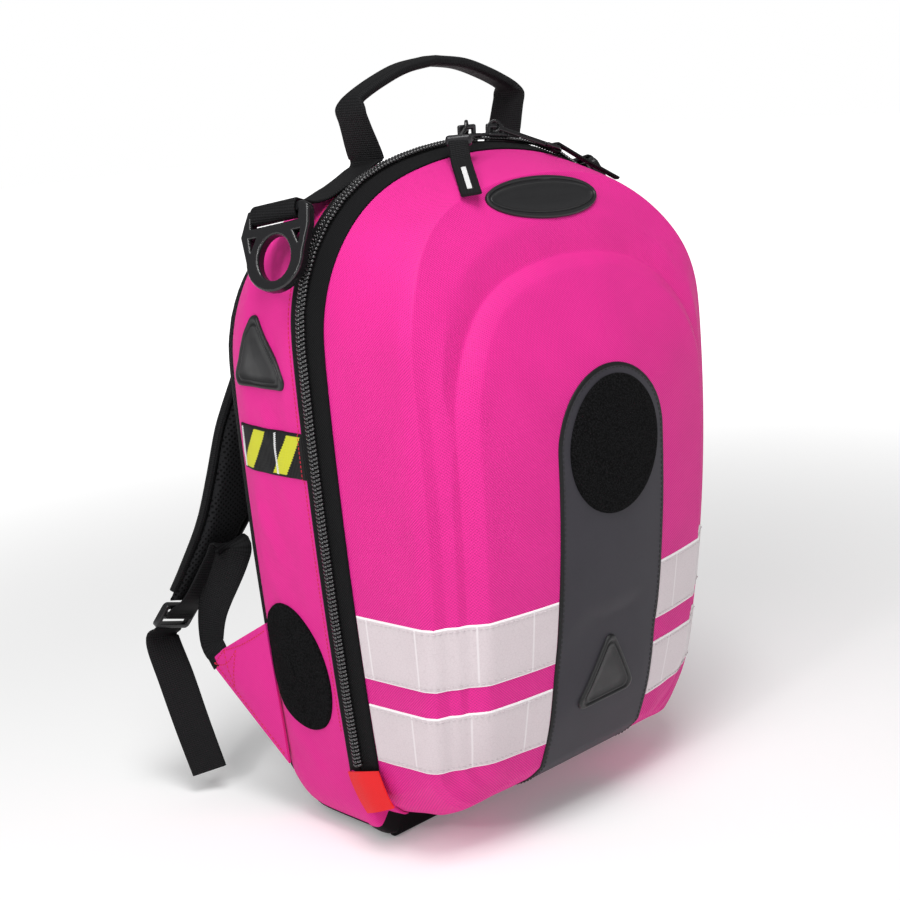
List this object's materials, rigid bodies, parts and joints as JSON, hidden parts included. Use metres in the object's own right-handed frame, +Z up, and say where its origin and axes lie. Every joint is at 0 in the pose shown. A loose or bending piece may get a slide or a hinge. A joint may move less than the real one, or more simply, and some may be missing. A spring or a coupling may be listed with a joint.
{
  "type": "backpack",
  "caption": "Upright emergency backpack: fabric tub with a zipped moulded front lid, carry handle, accessory rings and padded shoulder straps.",
  "frame": {"origin": "middle of the flat base, on the surface that the bag stands on", "axes": "+Z up, -Y to the front (the moulded lid), +X to the right seen from the front"},
  "size_m": [0.3832, 0.3698, 0.5897],
  "materials": {
    "pink_shell": "satin laminated fabric over moulded foam",
    "pink_fabric": "matt woven nylon",
    "black_fabric": "matt woven nylon",
    "black_mesh": "matt spacer mesh over foam",
    "black_webbing": "matt ribbed webbing",
    "hi_vis_webbing": "webbing with woven stripes",
    "loop_pile": "short loop pile",
    "grey_panel": "matt coarse weave",
    "reflective": "retroreflective film",
    "badge": "soft moulded badge",
    "zip_tape": "woven zip tape",
    "zip_chain": "moulded coil",
    "zip_metal": "black enamel",
    "black_plastic": "satin moulded",
    "stiffener": "flat sheet"
  },
  "bodies": {
    "pack": {"back_panel": "black_mesh", "back_stiffener": "stiffener", "base_panel": "black_fabric", "divider_lower": "black_fabric", "divider_upper": "black_fabric", "gusset": "pink_fabric", "handle_strap_left": "black_webbing", "handle_strap_right": "black_webbing", "ladder_lock_left": "black_plastic", "ladder_lock_right": "black_plastic", "lower_webbing_left": "black_webbing", "lower_webbing_right": "black_webbing", "shoulder_strap_left": "black_mesh", "shoulder_strap_right": "black_mesh", "side_badge": "badge", "side_loop_patch_left": "loop_pile", "side_loop_patch_right": "loop_pile", "side_webbing_left": "hi_vis_webbing", "side_webbing_right": "hi_vis_webbing", "webbing_tail_left": "black_webbing", "webbing_tail_right": "black_webbing", "wing_left": "pink_fabric", "wing_right": "pink_fabric", "zip_chain_body": "zip_chain", "zip_end_tab_left": "zip_tape", "zip_end_tab_right": "zip_tape", "zip_tape_body": "zip_tape"},
    "lid": {"lid_shell": "pink_shell", "lid_pocket": "black_fabric", "centre_panel": "grey_panel", "front_loop_patch": "loop_pile", "front_badge": "badge", "oval_badge": "badge", "reflective_upper_left": "reflective", "reflective_upper_right": "reflective", "reflective_lower_left": "reflective", "reflective_lower_right": "reflective", "zip_tape_lid": "zip_tape", "zip_chain_lid": "zip_chain", "zip_end_flap_left": "zip_tape", "zip_end_flap_right": "zip_tape"},
    "handle": {"handle_grip": "black_fabric"},
    "dring_left": {"dring_left": "black_plastic"},
    "slider_left": {"slider_left": "zip_metal"},
    "pull_left": {"pull_link_left": "black_plastic", "pull_tab_left": "black_webbing"},
    "dring_right": {"dring_right": "black_plastic"},
    "slider_right": {"slider_right": "zip_metal"},
    "pull_right": {"pull_link_right": "black_plastic", "pull_tab_right": "black_webbing"}
  },
  "joints": [
    {"name": "lid_open", "type": "hinge", "parent": "pack", "child": "lid", "pos_m": [0, -0.041, 0.022], "axis": [1, 0, 0], "range_deg": [0, 90]},
    {"name": "handle_fold", "type": "hinge", "parent": "pack", "child": "handle", "pos_m": [0, -0.013, 0.55615], "axis": [1, 0, 0], "range_deg": [-70, 10]},
    {"name": "dring_left_swing", "type": "hinge", "parent": "pack", "child": "dring_left", "pos_m": [-0.15883, -0.013, 0.49072], "axis": [-0.3376, 0.9275, -0.1603], "range_deg": [0, 150]},
    {"name": "slider_left_run", "type": "hinge", "parent": "lid", "child": "slider_left", "pos_m": [0, -0.041, 0.21], "axis": [0, 1, 0], "range_deg": [-15.6, 0]},
    {"name": "pull_left_lift", "type": "hinge", "parent": "slider_left", "child": "pull_left", "pos_m": [0.00624, -0.041, 0.53504], "axis": [-0.6292, 0.7771, 0.0121], "range_deg": [0, 80]},
    {"name": "dring_right_swing", "type": "hinge", "parent": "pack", "child": "dring_right", "pos_m": [0.15883, -0.013, 0.49072], "axis": [-0.3376, -0.9275, 0.1603], "range_deg": [0, 150]},
    {"name": "slider_right_run", "type": "hinge", "parent": "lid", "child": "slider_right", "pos_m": [0, -0.041, 0.21], "axis": [0, 1, 0], "range_deg": [0, 8.2]},
    {"name": "pull_right_lift", "type": "hinge", "parent": "slider_right", "child": "pull_right", "pos_m": [0.03624, -0.041, 0.53307], "axis": [-0.5841, -0.809, 0.0655], "range_deg": [0, 80]}
  ]
}
